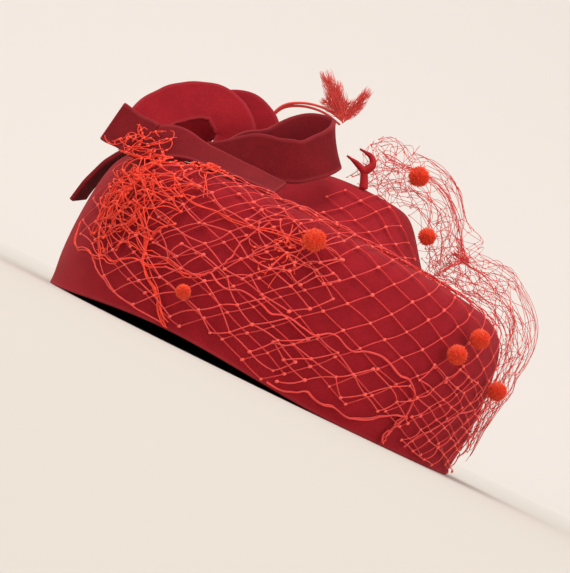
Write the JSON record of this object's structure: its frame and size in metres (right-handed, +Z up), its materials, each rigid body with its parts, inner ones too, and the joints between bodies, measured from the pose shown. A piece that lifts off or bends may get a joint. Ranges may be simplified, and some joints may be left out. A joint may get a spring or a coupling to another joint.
{
  "type": "pillbox hat",
  "caption": "Felt pillbox hat with a raised tip, a bow of felt strips, a coarse veil with chenille dots and feather tips.",
  "frame": {"origin": "centre of the head opening, on the plane of the hem that the hat rests on", "axes": "+Z up through the crown, -Y the way the wearer faces, +X towards the wearer's left"},
  "size_m": [0.1965, 0.1973, 0.1273],
  "materials": {
    "felt": "matte blocked wool felt, crimson",
    "veil_net": "fine knotted thread, red",
    "chenille": "short soft pile, orange red",
    "feather": "dyed feather barbs, salmon red"
  },
  "bodies": {
    "root": {"crown": "felt", "bow_tail_front": "felt", "bow_loop_right": "felt", "bow_loop_top": "felt", "bow_loop_back": "felt", "bow_tail_side": "felt", "veil_front": "veil_net", "veil_puff": "veil_net", "dot_1": "chenille", "dot_2": "chenille", "dot_3": "chenille", "dot_4": "chenille", "dot_5": "chenille", "dot_6": "chenille", "dot_7": "chenille", "feather_fan": "feather", "feather_sprig": "feather"}
  },
  "joints": []
}
